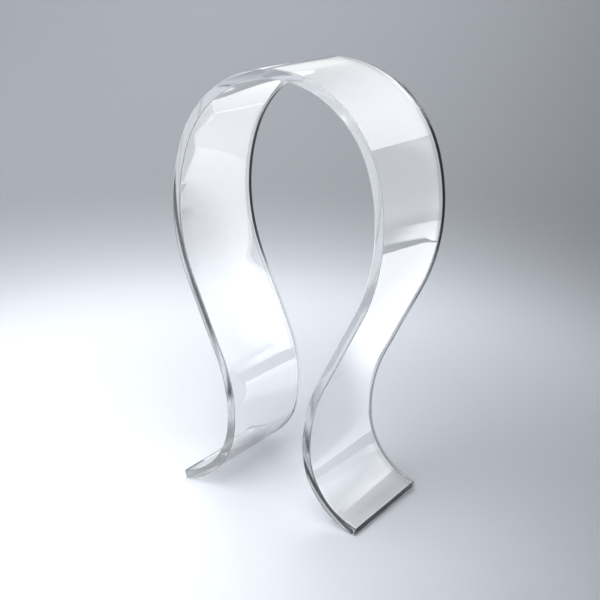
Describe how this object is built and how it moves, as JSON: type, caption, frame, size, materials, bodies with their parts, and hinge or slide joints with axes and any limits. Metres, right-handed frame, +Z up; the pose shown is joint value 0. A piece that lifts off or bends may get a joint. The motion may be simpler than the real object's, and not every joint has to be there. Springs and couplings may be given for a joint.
{
  "type": "headphone stand",
  "caption": "Omega-shaped desk stand for headphones, heat-bent from a strip of clear acrylic: a round loop carries the headband, a narrow neck flares into outturned feet.",
  "frame": {"origin": "on the floor plane, midway between the two toes and across the strip's width", "axes": "+Z up, X from toe to toe across the loop, Y along the width of the strip, which is the way a headband's pads face"},
  "size_m": [0.1292, 0.067, 0.24],
  "materials": {
    "clear_acrylic": "clear colourless cast acrylic sheet, both faces press-polished, sawn edges polished clear"
  },
  "bodies": {
    "root": {"acrylic_strip": "clear_acrylic"}
  },
  "joints": []
}
